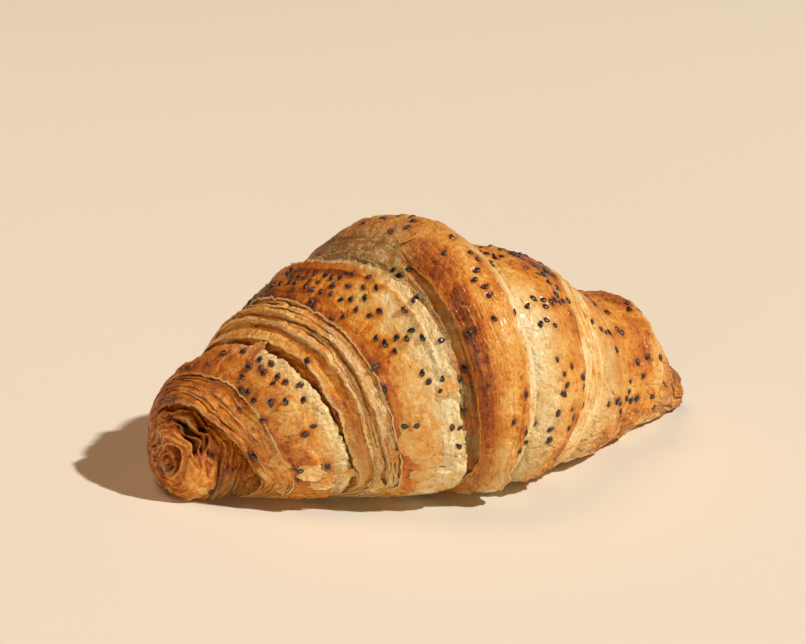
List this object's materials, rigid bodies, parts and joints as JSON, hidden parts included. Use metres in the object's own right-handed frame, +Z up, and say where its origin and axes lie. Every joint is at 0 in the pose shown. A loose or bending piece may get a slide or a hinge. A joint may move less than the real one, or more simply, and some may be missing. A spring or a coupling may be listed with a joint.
{
  "type": "croissant",
  "caption": "Baked laminated-dough croissant with stepped wraps, one blunt and one pointed end, a flat underside and a black-sesame crust.",
  "frame": {"origin": "bottom centre of the bounding box, on the surface the croissant lies on", "axes": "+X along the roll from the blunt heavy end to the small tip, +Y towards the side the two ends curl to, +Z up from the flat underside"},
  "size_m": [0.173, 0.0932, 0.0767],
  "materials": {
    "crust": "satin"
  },
  "bodies": {
    "root": {"croissant": "crust"}
  },
  "joints": []
}
